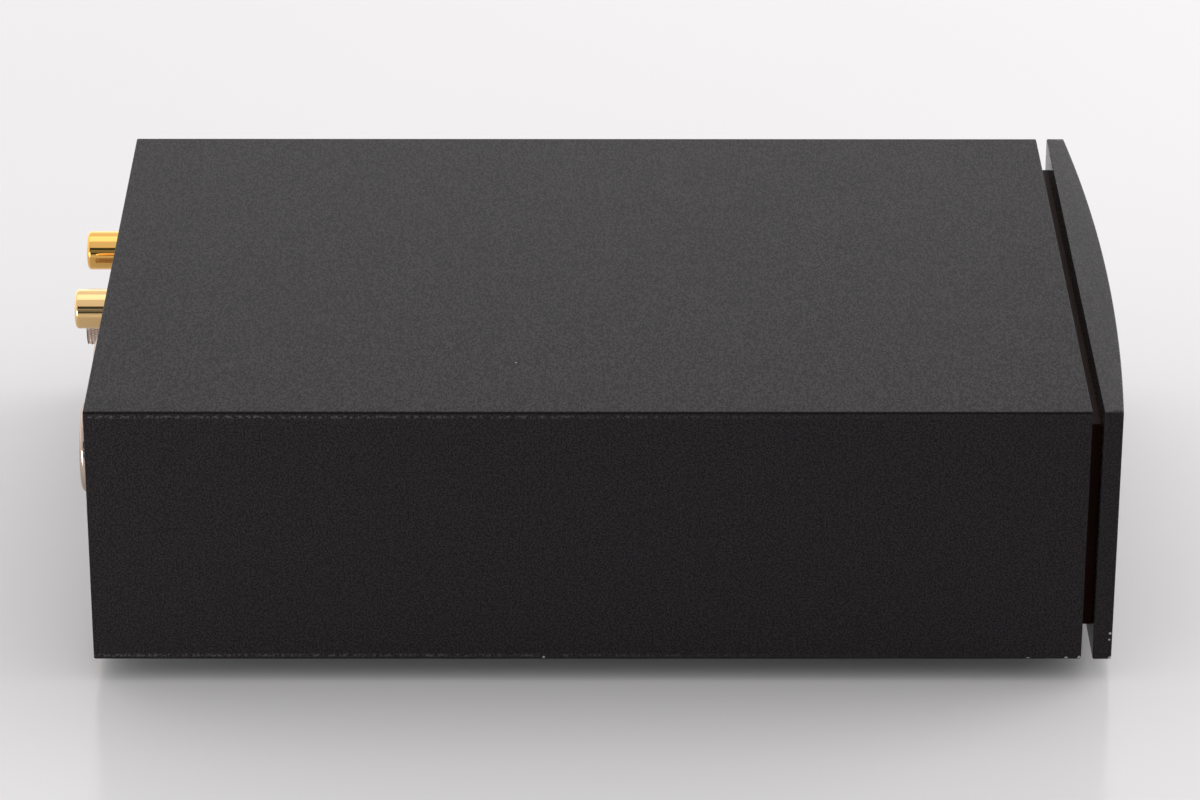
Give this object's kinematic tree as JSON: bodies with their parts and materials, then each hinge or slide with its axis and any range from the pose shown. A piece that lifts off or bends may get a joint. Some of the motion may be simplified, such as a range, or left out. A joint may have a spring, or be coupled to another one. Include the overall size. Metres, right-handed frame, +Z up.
{
  "type": "phono preamplifier",
  "caption": "Compact phono preamplifier: black textured sleeve, bowed fascia set off by a groove, rear phono and DIN sockets and a ground terminal.",
  "frame": {"origin": "on the surface under the feet, midway between the fascia's front and the tips of the phono sockets", "axes": "+Z up, -Y toward the front, +Y out of the rear panel, X across the case"},
  "size_m": [0.1388, 0.2186, 0.0607],
  "materials": {
    "case_textured": "black powder coat with a fine texture over aluminium",
    "fascia_satin": "satin black powder coat over aluminium",
    "spacer_dark": "dark brown-black anodised",
    "panel_black": "matt black anodised",
    "zinc_steel": "zinc-plated folded sheet",
    "screw_steel": "plated steel",
    "screw_black": "black oxide",
    "gold_plate": "polished gold plating",
    "nickel_plate": "bright nickel plating",
    "contact_brass": "turned brass",
    "tinned_tag": "tinned brass",
    "black_moulding": "moulded black plastic",
    "white_moulding": "moulded off-white plastic",
    "red_moulding": "moulded red plastic",
    "foot_rubber": "matt black rubber",
    "board_green": "green solder mask over glass laminate",
    "film_red": "moulded box",
    "resistor_blue": "lacquered",
    "can_blue": "shrink sleeve over an aluminium can",
    "can_black": "shrink sleeve over an aluminium can",
    "heatsink_black": "black anodised extrusion",
    "clear_acrylic": "clear acrylic",
    "led_green": "tinted epoxy",
    "lead_red": "PVC insulation",
    "lead_blue": "PVC insulation",
    "lead_orange": "PVC insulation",
    "lead_green": "PVC insulation"
  },
  "bodies": {
    "root": {"fascia": "fascia_satin", "light_pipe": "clear_acrylic", "power_led": "led_green", "spacer": "spacer_dark", "fascia_screws": "screw_steel", "sleeve": "case_textured", "chassis": "zinc_steel", "rear_panel": "panel_black", "rear_panel_screws": "screw_black", "foot_screws": "screw_steel", "clinch_nuts": "screw_steel", "foot_front_left": "foot_rubber", "foot_rear_left": "foot_rubber", "foot_front_right": "foot_rubber", "foot_rear_right": "foot_rubber", "rca_barrel_left": "gold_plate", "rca_bush_left": "white_moulding", "rca_washer_left": "black_moulding", "rca_dielectric_left": "white_moulding", "rca_contact_left": "gold_plate", "rca_tag_left": "tinned_tag", "rca_nut_left": "contact_brass", "rca_barrel_right": "gold_plate", "rca_bush_right": "red_moulding", "rca_washer_right": "black_moulding", "rca_dielectric_right": "white_moulding", "rca_contact_right": "gold_plate", "rca_tag_right": "tinned_tag", "rca_nut_right": "contact_brass", "din_shell_output": "nickel_plate", "din_insert_output": "black_moulding", "din_contacts_output": "contact_brass", "din_nut_output": "nickel_plate", "din_shell_power": "nickel_plate", "din_insert_power": "black_moulding", "din_contacts_power": "contact_brass", "din_nut_power": "nickel_plate", "ground_stud": "nickel_plate", "ground_tag": "tinned_tag", "ground_lock_nut": "nickel_plate", "circuit_board": "board_green", "standoffs": "contact_brass", "board_screws": "screw_steel", "ic_sockets": "black_moulding", "op_amps": "black_moulding", "film_capacitors": "film_red", "resistors": "resistor_blue", "electrolytic_capacitors": "can_blue", "reservoir_capacitors": "can_black", "rectifier_diodes": "black_moulding", "regulators": "black_moulding", "heatsinks": "heatsink_black", "regulator_screws": "screw_steel", "wire_headers": "white_moulding", "input_leads": "lead_red", "output_leads": "lead_blue", "power_leads": "lead_orange", "ground_lead": "lead_green"},
    "clamp_washer": {"ground_washer": "nickel_plate"},
    "thumb_nut": {"ground_thumb_nut": "nickel_plate"}
  },
  "joints": [
    {"name": "nut_travel", "type": "slide", "parent": "root", "child": "clamp_washer", "axis": [0, 1, 0], "range_m": [0, 0.0028]},
    {"name": "nut_spin", "type": "hinge", "parent": "clamp_washer", "child": "thumb_nut", "pos_m": [0.0327, 0.1055, 0.0328], "axis": [0, 1, 0], "range_deg": [0, 1440]}
  ],
  "couplings": [
    {"joint": "nut_spin", "follows": "nut_travel", "rad_per_m": 8976}
  ]
}
